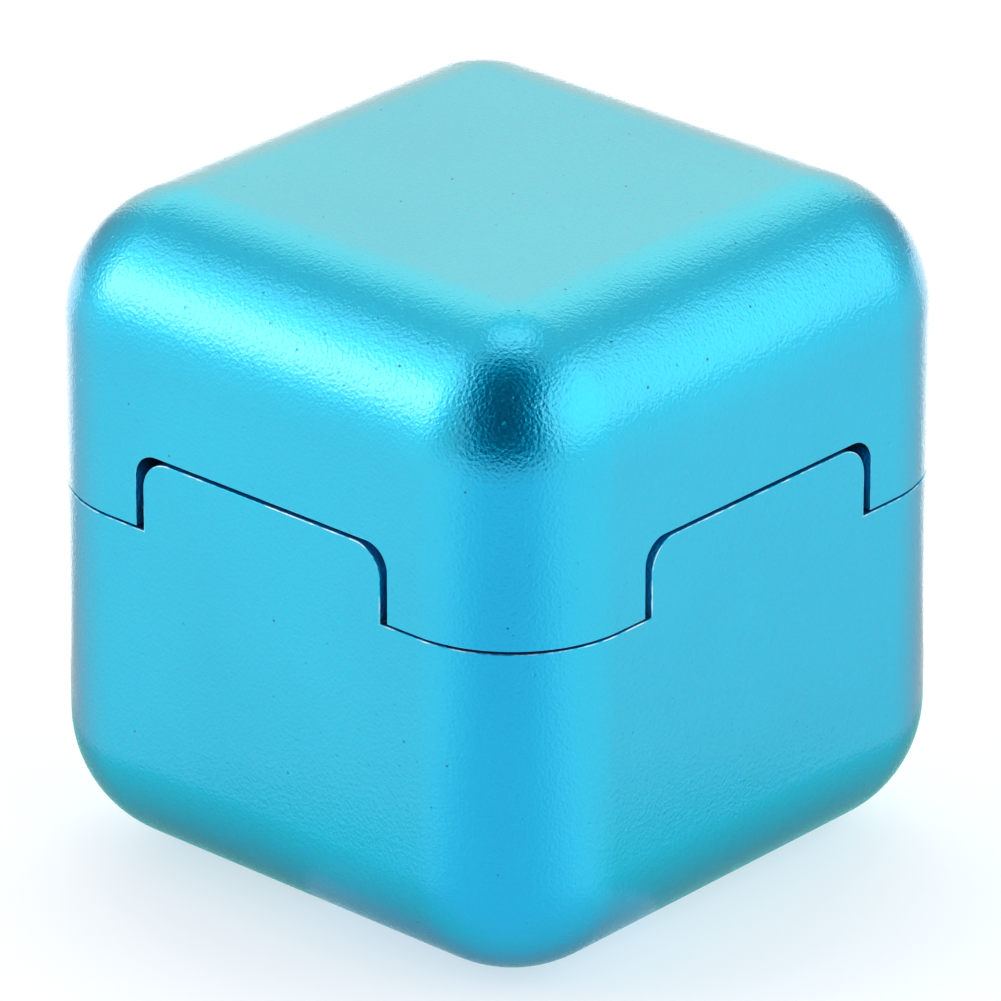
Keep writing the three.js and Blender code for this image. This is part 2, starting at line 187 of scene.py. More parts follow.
ON_AXIS = 1e-6  # a smaller radius than this is a point on the axis


def turned(profile, steps=96, centre=(0, 0)):
    """A profile of (radius, height) points turned about Z: from axis to axis, or closed on itself."""
    bm = bmesh.new()
    rings = []
    for radius, height in profile:
        count = steps if radius > ON_AXIS else 1
        angles = [2 * math.pi * i / steps for i in range(count)]
        flat = [(centre[0] + radius * math.cos(a), centre[1] + radius * math.sin(a)) for a in angles]
        rings.append([bm.verts.new((x, y, height)) for x, y in flat])
    pairs = list(zip(rings, rings[1:]))
    if profile[0][0] > ON_AXIS:
        pairs.append((rings[-1], rings[0]))
    for low, high in pairs:
        for i in range(steps):
            j = (i + 1) % steps
            corners = (low[i % len(low)], low[j % len(low)], high[j % len(high)], high[i % len(high)])
            bm.faces.new(list(dict.fromkeys(corners)))
    return new_piece(bm)


def drum(radius, bottom, top, steps=96, centre=(0, 0)):
    """A solid cylinder along Z."""
    return turned([(0, bottom), (radius, bottom), (radius, top), (0, top)], steps, centre)


def apply_modifiers(piece):
    """Makes the mesh that the modifiers give the piece's own."""
    graph = bpy.context.evaluated_depsgraph_get()
    mesh = bpy.data.meshes.new_from_object(piece.evaluated_get(graph))
    piece.modifiers.clear()
    piece.data = mesh


def combine(piece, operation, *tools):
    """Joins, cuts or intersects the piece with each tool in turn, and deletes the tools."""
    for tool in tools:
        modifier = piece.modifiers.new("combine", "BOOLEAN")
        modifier.operation = operation
        modifier.solver = "EXACT"
        modifier.object = tool
        apply_modifiers(piece)
        bpy.data.objects.remove(tool)
    return piece


def chamfer(piece, width, sharp=30, material=-1):
    """Bevels the edges that turn by more than sharp degrees, with faces in the material slot given."""
    modifier = piece.modifiers.new("chamfer", "BEVEL")
    modifier.material = material
    modifier.width = width
    modifier.segments = 2
    modifier.limit_method = "ANGLE"
    modifier.angle_limit = math.radians(sharp)
    modifier.use_clamp_overlap = True
    apply_modifiers(piece)
    return piece


def put_in_order(bm):
    """Sorts a bmesh's parts by where they are, because cutting gives them in another order each run."""
    for parts in (bm.verts, bm.edges, bm.faces):
        places = {part: sorted(tuple(v.co) for v in getattr(part, "verts", [part])) for part in parts}
        order = {part: i for i, part in enumerate(sorted(parts, key=places.get))}
        parts.sort(key=order.get)


def rebuilt_in_order(mesh):
    """The same mesh, with each face starting at its first vertex too. No two vertices may share a place."""
    places = sorted(tuple(vertex.co) for vertex in mesh.vertices)
    number = {place: i for i, place in enumerate(places)}
    faces = []
    for face in mesh.polygons:
        corners = [number[tuple(mesh.vertices[index].co)] for index in face.vertices]
        first = corners.index(min(corners))
        faces.append(corners[first:] + corners[:first])
    ordered = bpy.data.meshes.new("piece")
    ordered.from_pydata(places, [], sorted(faces))
    return ordered


def weld(piece):
    """Takes out the slivers that cutting leaves, because they would stop a chamfer from opening."""
    too_short, flat_angle = 0.02, 0.001
    bm = bmesh.new()
    bm.from_mesh(piece.data)
    put_in_order(bm)
    bmesh.ops.remove_doubles(bm, verts=bm.verts, dist=too_short)
    bmesh.ops.dissolve_limit(bm, angle_limit=flat_angle, verts=bm.verts, edges=bm.edges)
    bm.to_mesh(piece.data)
    bm.free()
    piece.data = rebuilt_in_order(piece.data)


def chamfer_and_mark(piece):
    """Chamfers the shell's sharp edges, and marks the chamfer's faces with 1 in its "edge" attribute."""
    weld(piece)
    slots = [bpy.data.materials.new(name) for name in ("face", "edge")]
    for slot in slots:
        piece.data.materials.append(slot)
    chamfer(piece, SEAM_CHAMFER, material=1)
    faces = piece.data.polygons
    marks = [float(face.material_index) for face in faces]
    faces.foreach_set("material_index", [0] * len(faces))
    piece.data.attributes.new("edge", "FLOAT", "FACE").data.foreach_set("value", marks)
    for slot in slots:
        bpy.data.materials.remove(slot)
    return piece


def way_out(spot):
    """From the rounded cube's core, the smaller cube inside its corner radius, to a spot on its skin."""
    middle = Vector((0, 0, HEIGHT / 2))
    core = Vector((EDGE / 2, EDGE / 2, HEIGHT / 2)) - Vector((1, 1, 1)) * CORNER_RADIUS
    offset = spot - middle
    return offset - Vector([min(max(offset[i], -core[i]), core[i]) for i in range(3)])


def shade_rounded(piece):
    """Exact normals on the rounded cube's outside, so that its flats and edges blend without a ripple."""
    mesh = piece.data
    tolerance, nearly_flush = 0.01, 0.97
    mesh.polygons.foreach_set("use_smooth", [True] * len(mesh.polygons))
    mesh.set_sharp_from_angle(angle=math.radians(30))
    normals = [corner.vector.copy() for corner in mesh.corner_normals]
    ways = [way_out(vertex.co) for vertex in mesh.vertices]
    outside = [abs(way.length - CORNER_RADIUS) < tolerance for way in ways]
    for face in mesh.polygons:
        whole = all(outside[index] for index in face.vertices)
        for loop, index in zip(face.loop_indices, face.vertices):
            way = ways[index].normalized()
            if outside[index] and (whole or face.normal.dot(way) > nearly_flush):
                normals[loop] = way
    mesh.normals_split_custom_set(normals)


def finished(piece, node, body, material):
    """The piece in metres, smooth shaded, in place of its CAD node."""
    piece.name = f"fine_{node}"
    piece.data.name = piece.name
    if node in ("lower_shell", "upper_shell"):
        shade_rounded(piece)
    else:
        piece.data.polygons.foreach_set("use_smooth", [True] * len(piece.data.polygons))
        piece.modifiers.new("normals", "WEIGHTED_NORMAL")
        apply_modifiers(piece)
    piece.data.transform(Matrix.Scale(MM, 4))
    piece.data.materials.clear()
    piece.data.materials.append(material)
    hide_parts(node)
    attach(piece, body)
    return piece


# ---- Materials ----
class Finish:
    """A material's node tree round its Principled shader, with coordinates in metres on the piece."""

    def __init__(self, name, **sockets):
        self.material = bpy.data.materials.new(name)
        self.material.use_nodes = True
        self.tree = self.material.node_tree
        self.shader = self.tree.nodes["Principled BSDF"]
        self.place = self.tree.nodes.new("ShaderNodeTexCoord").outputs["Object"]
        for socket, value in sockets.items():
            self.shader.inputs[socket.replace("_", " ")].default_value = value

    def link(self, source, socket):
        self.tree.links.new(source, socket)

    def node(self, kind, inputs, **settings):
        made = self.tree.nodes.new(kind)
        for name, value in settings.items():
            setattr(made, name, value)
        for name, value in inputs.items():
            if isinstance(value, bpy.types.NodeSocket):
                self.link(value, made.inputs[name])
            else:
                made.inputs[name].default_value = value
        return made

    def noise(self, grain, detail=2.0, place=None, roughness=0.5):
        """Noise whose lumps are about grain metres across, from 0 to 1."""
        inputs = {"Vector": place or self.place, "Scale": 1 / grain}
        inputs.update({"Detail": detail, "Roughness": roughness})
        return self.node("ShaderNodeTexNoise", inputs).outputs["Fac"]

    def cells(self, per_metre):
        """Voronoi cells, so many to the metre: the distance from a cell's middle, and the cell's colour."""
        return self.node("ShaderNodeTexVoronoi", {"Vector": self.place, "Scale": per_metre}).outputs

    def multiply(self, first, second):
        return self.node("ShaderNodeMath", {0: first, 1: second}, operation="MULTIPLY").outputs[0]

    def spread(self, value, low, high, to_low=0.0, to_high=1.0):
        """The value from low to high, spread over another range."""
        inputs = {"Value": value, "From Min": low, "From Max": high, "To Min": to_low, "To Max": to_high}
        return self.node("ShaderNodeMapRange", inputs).outputs["Result"]

    def sum(self, first, second, weight):
        """The first value and the second one times its weight."""
        inputs = {0: second, 1: weight, 2: first}
        return self.node("ShaderNodeMath", inputs, operation="MULTIPLY_ADD").outputs[0]

    def mix(self, share, first, second):
        inputs = {0: share, 6: first, 7: second}
        return self.node("ShaderNodeMix", inputs, data_type="RGBA").outputs[2]

    def bump(self, height, depth, socket="Normal"):
        """Height from 0 to 1 stands depth metres proud."""
        made = self.node("ShaderNodeBump", {"Height": height, "Distance": depth})
        self.link(made.outputs["Normal"], self.shader.inputs[socket])


def blasted_relief(finish):
    """Bumps and small pits from bead blasting. It gives back the dimples, and a mask of the few pits that
    get painted shade.
    """
    dimples = finish.noise(0.00012, 1.0)
    cups = finish.cells(5000)["Distance"]
    specks = finish.cells(1200)
    pit = finish.spread(specks["Distance"], 0.04, 0.11, 1.0, 0.0)
    height = finish.sum(dimples, cups, 0.9)
    height = finish.sum(height, pit, -1.0)
    finish.bump(height, 0.000017)
    finish.bump(height, 0.000012, "Coat Normal")
    chance = finish.node("ShaderNodeSeparateColor", {"Color": specks["Color"]}).outputs[0]
    # The few pits that are painted darker: painted shade in their hollows.
    return dimples, finish.multiply(pit, finish.spread(chance, 0.88, 0.89))


def anodised_finish():
    """Bead-blasted aluminium under a dyed, sealed oxide film, worn to bare metal on its edges."""
    finish = Finish("anodised_aluminium", Metallic=1.0, Coat_Weight=1.0, Coat_Roughness=0.14, Coat_IOR=1.75)
    finish.shader.inputs["Specular Tint"].default_value = (0.0, 0.0, 0.0, 1)  # darker at a grazing angle
    dimples, pit_painted_shade = blasted_relief(finish)
    deep, pale = (0.004, 0.54, 0.75, 1), (0.006, 0.57, 0.78, 1)
    dyed = finish.mix(finish.spread(finish.noise(0.012, 3.0), 0.35, 0.65), deep, pale)
    # Painted shade: a few pits are painted a deep blue, as if shade fell in them.
    dyed = finish.mix(pit_painted_shade, dyed, (0.0, 0.2, 0.3, 1))
    edge = finish.node("ShaderNodeAttribute", {}, attribute_name="edge").outputs["Fac"]
    patchy = finish.spread(finish.noise(0.0009, 3.0), 0.42, 0.62, 0.0, 0.75)
    bare = (0.85, 0.92, 0.94, 1)
    finish.link(finish.mix(finish.multiply(edge, patchy), dyed, bare), finish.shader.inputs["Base Color"])
    finish.link(finish.spread(dimples, 0.3, 0.7, 0.34, 0.40), finish.shader.inputs["Roughness"])
    return finish.material


def turned_metal_finish(name, colour, rough):
    """Metal turned on a lathe: fine rings about the Z axis."""
    finish = Finish(name, Metallic=1.0)
    parts = finish.node("ShaderNodeSeparateXYZ", {"Vector": finish.place})
    flat = finish.node("ShaderNodeCombineXYZ", {"X": parts.outputs["X"], "Y": parts.outputs["Y"]})
    radius = finish.node("ShaderNodeVectorMath", {0: flat.outputs[0]}, operation="LENGTH").outputs["Value"]
    along = finish.sum(radius, parts.outputs["Z"], 1.0)
    line = finish.node("ShaderNodeCombineXYZ", {"X": along}).outputs[0]
    rings = finish.noise(0.00012, 3.0, line, 0.7)
    stain = finish.noise(0.003, 3.0)
    worn = tuple(0.8 * c for c in colour)
    tint = finish.mix(finish.spread(stain, 0.3, 0.7), (*worn, 1), (*colour, 1))
    finish.link(tint, finish.shader.inputs["Base Color"])
    finish.link(finish.spread(rings, 0.3, 0.7, rough, rough + 0.14), finish.shader.inputs["Roughness"])
    finish.bump(rings, 0.000004)
    return finish.material


def plain_metal_finish(name, colour, rough):
    """Ground, drawn or plated metal, with fine handling marks."""
    finish = Finish(name, Metallic=1.0)
    scuffs = finish.noise(0.0004, 4.0, None, 0.65)
    stain = finish.noise(0.002, 3.0)
    worn = tuple(0.75 * c for c in colour)
    tint = finish.mix(finish.spread(stain, 0.3, 0.7), (*worn, 1), (*colour, 1))
    finish.link(tint, finish.shader.inputs["Base Color"])
    finish.link(finish.spread(scuffs, 0.3, 0.7, rough, rough + 0.12), finish.shader.inputs["Roughness"])
    finish.bump(scuffs, 0.000003)
    return finish.material


def rubber_finish():
    """Black rubber with a dull skin and a dusty bloom."""
    finish = Finish("rubber", Metallic=0.0, Specular_IOR_Level=0.4)
    skin = finish.noise(0.0003, 4.0, None, 0.6)
    bloom = finish.noise(0.002, 3.0)
    fresh, dusty = (0.016, 0.016, 0.017, 1), (0.035, 0.034, 0.034, 1)
    tint = finish.mix(finish.spread(bloom, 0.35, 0.7), fresh, dusty)
    finish.link(tint, finish.shader.inputs["Base Color"])
    finish.link(finish.spread(skin, 0.3, 0.7, 0.62, 0.8), finish.shader.inputs["Roughness"])
    finish.bump(skin, 0.00001)
    return finish.material


ANODISED = anodised_finish()
STEEL = turned_metal_finish("ground_steel", (0.60, 0.61, 0.62), 0.2)
BALL_STEEL = plain_metal_finish("polished_steel", (0.62, 0.63, 0.65), 0.08)
SPRING_STEEL = plain_metal_finish("spring_wire", (0.42, 0.42, 0.43), 0.24)
BLACK_STEEL = plain_metal_finish("black_oxide", (0.035, 0.035, 0.038), 0.36)
ALUMINIUM = turned_metal_finish("turned_aluminium", (0.70, 0.71, 0.73), 0.26)
BRASS = turned_metal_finish("brass", (0.66, 0.47, 0.20), 0.22)
NICKEL = plain_metal_finish("nickel_plate", (0.68, 0.66, 0.61), 0.14)
RUBBER = rubber_finish()


# ---- The shells ----
def corner_place(quarter, node):
    """The centre of a piece at one of the cube's corners, in the plane."""
    low, high = extent(f"{node}_{quarter}")
    return ((low.x + high.x) / 2, (low.y + high.y) / 2)


def rounded_cube():
    return block(LOWER_LOW, UPPER_HIGH, CORNER_RADIUS, 20)


def magnet_drills(node, bottom, top):
    """The four holes for the magnets of one half."""
    low, high = extent(f"{node}_1")
    radius = (high.x - low.x) / 2 + CLOSE_FIT
    return [drum(radius, bottom, top, 48, corner_place(quarter, node)) for quarter in QUARTERS]


def spigot_socket():
    """The round hole with two flats that keys the spindle's foot."""
    radius, side = SPIGOT_RADIUS + CLOSE_FIT, SPIGOT_HALF_ACROSS_FLATS + CLOSE_FIT
    slab = block(Vector((-EDGE, -side, 0)), Vector((EDGE, side, HEIGHT)))
    return combine(drum(radius, SPINDLE_LOW.z, FLOOR_OF_BORE + CUT), "INTERSECT", slab)


def base_screw_hole():
    """The countersunk hole in the lower shell's floor."""
    low, high = extent("base_screw")
    head, neck = high.x + SCREW_CLEARANCE, BASE_SHANK_RADIUS + SCREW_CLEARANCE
    cone = low.z + BASE_SCREW_RIM + SCREW_CLEARANCE / 2
    profile = [(0, -CUT), (head, -CUT), (head, cone), (neck, cone + head - neck)]
    return turned([*profile, (neck, FLOOR_OF_BORE), (0, FLOOR_OF_BORE)])


def lower_shell():
    """The lower half of the cube, with a tongue in the middle of each side."""
    wide = EDGE / 2 + CUT
    keep = block(Vector((-wide, -wide, -CUT)), Vector((wide, wide, SHOULDER)))
    bars = [castellation(TONGUE_WIDTH, FLOOR_OF_BORE, TONGUE_TOP, TONGUE_CORNER, turn) for turn in (0, 90)]
    combine(keep, "UNION", *bars)
    shell = combine(rounded_cube(), "INTERSECT", keep)
    bore = drum(LOWER_BORE_RADIUS, FLOOR_OF_BORE, TONGUE_TOP + CUT, 128)
    low, _ = extent("lower_magnet_1")
    drills = magnet_drills("lower_magnet", low.z - CLOSE_FIT, TONGUE_TOP)
    return combine(shell, "DIFFERENCE", bore, spigot_socket(), base_screw_hole(), *drills)


def upper_shell():
    """The upper half of the cube, with a leg at each upright edge."""
    wide = EDGE / 2 + CUT
    keep = block(Vector((-wide, -wide, LEG_BOTTOM)), Vector((wide, wide, HEIGHT + CUT)))
    notches = [castellation(NOTCH_WIDTH, 0, NOTCH_TOP, NOTCH_CORNER, turn) for turn in (0, 90)]
    shell = combine(rounded_cube(), "INTERSECT", keep)
    recess = drum(FLANGE_RECESS_RADIUS, 0, CARRIER_HIGH.z, 128)
    chamber = drum(SPRING_CHAMBER_RADIUS, 0, CEILING)
    _, high = extent("upper_magnet_1")
    drills = magnet_drills("upper_magnet", 0, high.z + CLOSE_FIT)
    radius, top = CARRIER_SHANK_RADIUS + CLOSE_FIT, extent("carrier_screw_1")[1].z + TAPPED_SPARE
    taps = [drum(radius, NOTCH_TOP, top, 32, corner_place(q, "carrier_screw")) for q in QUARTERS]
    return combine(shell, "DIFFERENCE", *notches, recess, chamber, *drills, *taps)


finished(chamfer_and_mark(lower_shell()), "lower_shell", "base", ANODISED)
finished(chamfer_and_mark(upper_shell()), "upper_shell", "upper_half", ANODISED)


# ---- The spindle, the screws and the bumper ----
def spindle():
    """A headed post with a tapped foot, which two flats key into the lower shell."""
    low, high = SPINDLE_LOW.z, SPINDLE_HIGH.z
    seat = extent("seat_washer")[1].z
    tap, tapped_top = BASE_SHANK_RADIUS + CLOSE_FIT, extent("base_screw")[1].z + TAPPED_SPARE
    drill_point = 0.6
    head, head_chamfer = SPINDLE_HIGH.x, 0.4
    profile = [
        (0, tapped_top + drill_point),
        (tap, tapped_top),
        (tap, low),
        (SPIGOT_RADIUS, low),
        (SPIGOT_RADIUS, FLOOR_OF_BORE),
        (SPINDLE_RADIUS, FLOOR_OF_BORE),
        (SPINDLE_RADIUS, seat),
        (head, seat),
        (head, high - head_chamfer),
        (head - head_chamfer, high),
        (0, high),
    ]
    side = SPIGOT_HALF_ACROSS_FLATS
    flats = block(Vector((-EDGE, -side, 0)), Vector((EDGE, side, FLOOR_OF_BORE)))
    rest = block(Vector((-EDGE, -EDGE, FLOOR_OF_BORE)), Vector((EDGE, EDGE, HEIGHT)))
    return combine(turned(softened(profile, 0.12)), "INTERSECT", combine(flats, "UNION", rest))


def shank(radius, bottom, top, pitch):
    """Profile points up a shank, close enough together to carry a thread."""
    per_turn = 8
    count = round((top - bottom) / pitch * per_turn)
    return [(radius, bottom + (top - bottom) * i / count) for i in range(count + 1)]


def cut_thread(piece, centre, radius, bottom, top, pitch):
    """Presses a helical groove into the shank, with flat crests and roots, fading out at both ends."""
    depth = 0.55 * pitch
    for vertex in piece.data.vertices:
        x, y, z = vertex.co.x - centre[0], vertex.co.y - centre[1], vertex.co.z
        off_shank = abs(math.hypot(x, y) - radius) > 0.001
        if off_shank or not bottom <= z <= top:
            continue
        turn = (z / pitch - math.atan2(y, x) / (2 * math.pi)) % 1
        wave = min(1, max(0, 1.3 * abs(2 * turn - 1) - 0.15))
        fade = min(1, (z - bottom) / pitch, (top - z) / pitch)
        inwards = 1 - depth * wave * fade / radius
        vertex.co.x = centre[0] + x * inwards
        vertex.co.y = centre[1] + y * inwards


def hexagon(radius, bottom, top, centre=(0, 0)):
    """A hexagonal bar, with the radius out to its corners."""
    return drum(radius, bottom, top, 6, centre)


def base_screw():
    """A countersunk M3 screw with a hexagonal socket."""
    low, high = extent("base_screw")
    head, radius, rim, pitch = high.x, BASE_SHANK_RADIUS, BASE_SCREW_RIM, 0.5
    edge, point = 0.05, 0.3  # broken edges of the head and of the shank's end
    socket, socket_depth = 1.15, 1.2
    neck = low.z + rim + head - radius
    shank_start, thread_start, end = neck + 0.1, neck + 0.4, high.z - point
    profile = [(0, low.z), (head - edge, low.z), (head, low.z + edge), (head, low.z + rim), (radius, neck)]
    profile += [*shank(radius, shank_start, end, pitch), (radius - point, high.z), (0, high.z)]
    screw = turned(profile, 64)
    cut_thread(screw, (0, 0), radius, thread_start, end, pitch)
    combine(screw, "DIFFERENCE", hexagon(socket, low.z - CUT, low.z + socket_depth))
    return chamfer(screw, 0.05, 50)


def carrier_screw(quarter):
    """A button-head M2 screw with a hexagonal socket."""
    low, high = extent(f"carrier_screw_{quarter}")
    centre = corner_place(quarter, "carrier_screw")
    head, radius, pitch = (high.x - low.x) / 2, CARRIER_SHANK_RADIUS, 0.4
    rim_height, point = 0.35, 0.2
    socket, socket_depth = 0.75, 0.7
    seat, rim = FLANGE_BOTTOM, FLANGE_BOTTOM - rim_height
    shank_start, thread_start, end = seat + 0.1, seat + 0.3, high.z - point
    angles = [math.radians(10 * i) for i in range(10)]
    dome = [(head / 2 * (1 + math.sin(a)), rim + (low.z - rim) * math.cos(a)) for a in angles]
    profile = [(0, low.z), *dome, (head, seat), (radius, seat)]
    profile += [*shank(radius, shank_start, end, pitch), (radius - point, high.z), (0, high.z)]
    screw = turned(profile, 48, centre)
    cut_thread(screw, centre, radius, thread_start, end, pitch)
    combine(screw, "DIFFERENCE", hexagon(socket, low.z - CUT, low.z + socket_depth, centre))
    return chamfer(screw, 0.04, 50)


def washer(node, inner, softness):
    """A ring of the CAD node's height and width, with rounded edges."""
    low, high = extent(node)
    outer = high.x
    profile = [(inner, low.z), (outer, low.z), (outer, high.z), (inner, high.z)]
    return turned(softened(profile, softness, 6))


finished(spindle(), "spindle", "base", STEEL)
finished(base_screw(), "base_screw", "base", BLACK_STEEL)
finished(washer("bumper_ring", BUMPER_BORE_RADIUS, 0.45), "bumper_ring", "base", RUBBER)
for quarter in QUARTERS:
    finished(carrier_screw(quarter), f"carrier_screw_{quarter}", "upper_half", BLACK_STEEL)

# ---- The return spring and its washers ----
SPRING_TURNS = 6
CLOSED_TURNS = 0.8  # at each end, where the wire winds close to itself
WIRE_RADIUS = 0.3
WIRE_GAP = 0.04  # between a closed turn and the next one


def spring_height(turn):
    """The height of the middle of the wire after so many turns."""
    bottom, top = SPRING_LOW.z + WIRE_RADIUS, SPRING_HIGH.z - WIRE_RADIUS
    end_rise = (2 * WIRE_RADIUS + WIRE_GAP) * CLOSED_TURNS
    first = min(1, turn / CLOSED_TURNS)
    last = max(0, 1 - (SPRING_TURNS - turn) / CLOSED_TURNS)
    middle = min(1, max(0, (turn - CLOSED_TURNS) / (SPRING_TURNS - 2 * CLOSED_TURNS)))
    return bottom + end_rise * (first + last) + (top - bottom - 2 * end_rise) * middle


def return_spring():
    """A round wire wound up its helix, with its two ends a little drawn in."""
    mean = SPRING_HIGH.x - WIRE_RADIUS
    per_turn, around = 64, 20
    count = per_turn * SPRING_TURNS
    bm = bmesh.new()
    rings = []
    for i in range(count + 1):
        turn = SPRING_TURNS * i / count
        radius = WIRE_RADIUS * min(1, 0.75 + 0.125 * min(i, count - i))
        section = [(mean + x, spring_height(turn) + z) for x, z in arc((0, 0), radius, 0, 360, around)[:-1]]
        spin = Matrix.Rotation(2 * math.pi * turn, 3, "Z")
        rings.append([bm.verts.new(spin @ Vector((x, 0, z))) for x, z in section])
    for low, high in zip(rings, rings[1:]):
        for j in range(around):
            bm.faces.new((low[j - 1], low[j], high[j], high[j - 1]))
    bm.faces.new(rings[0])
    bm.faces.new(rings[-1])
    return new_piece(bm)


spring = finished(return_spring(), "return_spring", "base", SPRING_STEEL)
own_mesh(spring)
finished(washer("thrust_washer", WASHER_BORE_RADIUS, 0.1), "thrust_washer", "inner_race", BRASS)
finished(washer("seat_washer", WASHER_BORE_RADIUS, 0.12), "seat_washer", "base", BRASS)

# ---- The bearing, with radii for its bores and lands ----
SHIELD_LOW, SHIELD_HIGH = extent("bearing_shield_upper")
BEARING_BORE = 3.175
INNER_LAND = 4.1
OUTER_LAND = 5.42
SHIELD_BORE = 4.25
SHIELD_FIT = 0.04
CAGE_BORE = 4.3
POCKET_RADIUS = 0.84


def groove(first, last):
    """The stretch of a ball groove between two angles, in degrees."""
    return arc((PITCH_RADIUS, BEARING_MIDDLE), GROOVE_RADIUS, first, last, 16)


def inner_ring():
    reach = math.degrees(math.acos((PITCH_RADIUS - INNER_LAND) / GROOVE_RADIUS))
    low, high = BEARING_LOW.z, BEARING_HIGH.z
    profile = [(BEARING_BORE, low), (INNER_LAND, low), *groove(180 + reach, 180 - reach)]
    profile += [(INNER_LAND, high), (BEARING_BORE, high)]
    return turned(softened(profile, 0.12), 128)


def outer_ring():
    reach = math.degrees(math.acos((OUTER_LAND - PITCH_RADIUS) / GROOVE_RADIUS))
    low, high, outer = BEARING_LOW.z, BEARING_HIGH.z, BEARING_HIGH.x
    seat = SHIELD_HIGH.x + SHIELD_FIT
    depth = high - SHIELD_LOW.z + SHIELD_FIT
    profile = [(seat, low), (outer, low), (outer, high), (seat, high), (seat, high - depth)]
    profile += [(OUTER_LAND, high - depth), *groove(reach, -reach)]
    profile += [(OUTER_LAND, low + depth), (seat, low + depth)]
    return turned(softened(profile, 0.12), 128)


def on_circle(angle, radius):
    """A place in the plane, with the angle in radians."""
    return radius * math.cos(angle), radius * math.sin(angle)


def ball_places():
    angles = [2 * math.pi * i / BALL_COUNT for i in range(BALL_COUNT)]
    return [Vector((*on_circle(a, PITCH_RADIUS), BEARING_MIDDLE)) for a in angles]


def ball(centre, radius=BALL_RADIUS):
    bm = bmesh.new()
    bmesh.ops.create_icosphere(bm, subdivisions=4, radius=radius)
    bmesh.ops.translate(bm, vec=centre, verts=bm.verts)
    return new_piece(bm)


def cage_blank(low, high, outer):
    """The ring that the pockets are cut from, with a fine groove where its two halves meet."""
    groove_depth = 0.06
    middle = BEARING_MIDDLE
    profile = [(CAGE_BORE, low), (outer, low), (outer, middle - groove_depth)]
    profile += [(outer - groove_depth, middle), (outer, middle + groove_depth)]
    profile += [(outer, high), (CAGE_BORE, high)]
    return turned(softened(profile, 0.08), 128)


def bearing_cage():
    """A brass ring with round pockets, and rivets between them."""
    low, high = extent("bearing_cage")
    cage = cage_blank(low.z, high.z, high.x)
    for place in ball_places():
        combine(cage, "DIFFERENCE", ball(place, POCKET_RADIUS))
    radius, proud = 0.24, 0.12
    bottom, top = low.z - proud, high.z + proud
    rivet = softened([(0, bottom), (radius, bottom), (radius, top), (0, top)], 0.1)
    for i in range(BALL_COUNT):
        angle = 2 * math.pi * (i + 0.5) / BALL_COUNT
        combine(cage, "UNION", turned(rivet, 24, on_circle(angle, (CAGE_BORE + high.x) / 2)))
    return cage


def shield(node, lips):
    """A pressed disc with a turned-in outer edge. The lips point up for one shield, down for the other."""
    low, high = extent(node)
    base, rise = (low.z, 1) if lips > 0 else (high.z, -1)
    thick, outer = (high.z - low.z) * 0.55, high.x
    step = high.z - low.z - thick
    bend, slope, inset = 4.75, 0.2, 0.1
    lower = [(SHIELD_BORE, 0), (bend, 0), (bend + slope, step), (outer, step)]
    upper = [(outer, step + thick), (bend + slope - inset, step + thick)]
    upper += [(bend - inset, thick), (SHIELD_BORE, thick)]
    profile = [(radius, base + rise * height) for radius, height in lower + upper]
    return turned(softened(profile, 0.04), 128)


finished(inner_ring(), "bearing_inner_ring", "inner_race", STEEL)
finished(outer_ring(), "bearing_outer_ring", "upper_half", STEEL)
finished(bearing_cage(), "bearing_cage", "ball_train", BRASS)
finished(shield("bearing_shield_lower", 1), "bearing_shield_lower", "upper_half", STEEL)
finished(shield("bearing_shield_upper", -1), "bearing_shield_upper", "upper_half", STEEL)
for number, place in enumerate(ball_places(), start=1):
    finished(ball(place), f"bearing_ball_{number}", "ball_train", BALL_STEEL)


# ---- The carrier and the magnets ----
def bearing_carrier():
    """The cup that holds the bearing, with the flange that its screws go through."""
    press_fit, screw_hole = 0.03, CARRIER_SHANK_RADIUS + SCREW_CLEARANCE
    cup, lip, bore, seat = 7.4, 5.6, BEARING_HIGH.x + press_fit, BEARING_LOW.z
    low, top, flange = CARRIER_LOW.z, CARRIER_HIGH.z, CARRIER_HIGH.x
    profile = [(lip, low), (cup, low), (cup, FLANGE_BOTTOM), (flange, FLANGE_BOTTOM), (flange, top)]
    profile += [(bore, top), (bore, seat), (lip, seat)]
    carrier = turned(softened(profile, 0.2, 4), 128)
    drills = [drum(screw_hole, low, HEIGHT, 32, corner_place(q, "carrier_screw")) for q in QUARTERS]
    return chamfer(combine(carrier, "DIFFERENCE", *drills), 0.1, 50)


def magnet(node, quarter):
    low, high = extent(f"{node}_{quarter}")
    radius = (high.x - low.x) / 2
    profile = [(0, low.z), (radius, low.z), (radius, high.z), (0, high.z)]
    return turned(softened(profile, 0.15, 5), 64, corner_place(quarter, node))


finished(bearing_carrier(), "bearing_carrier", "upper_half", ALUMINIUM)
for quarter in QUARTERS:
    finished(magnet("lower_magnet", quarter), f"lower_magnet_{quarter}", "base", NICKEL)
    finished(magnet("upper_magnet", quarter), f"upper_magnet_{quarter}", "upper_half", NICKEL)


# ---- The studio, in metres ----
CENTRE = (CAD_BOUNDS[0] + CAD_BOUNDS[1]) / 2
WHITE = (1, 1, 1)
WARM = (1, 0.92, 0.66)
ROSE = (1, 0.25, 0.2)
FLOOR_GREY = (0.56, 0.56, 0.56)
# The near card's grey: painted shade round the cube's foot, tinted cyan as painted bounce light.
NEAR_SHADE_GREY = (0.29, 0.51, 0.48)
FLOOR_GLOW = 0.40


def towards(azimuth, elevation):
    """The direction at an azimuth from -Y towards +X and an elevation, both in degrees."""
    a, e = math.radians(azimuth), math.radians(elevation)
    return Vector((math.sin(a) * math.cos(e), -math.cos(a) * math.cos(e), math.sin(e)))


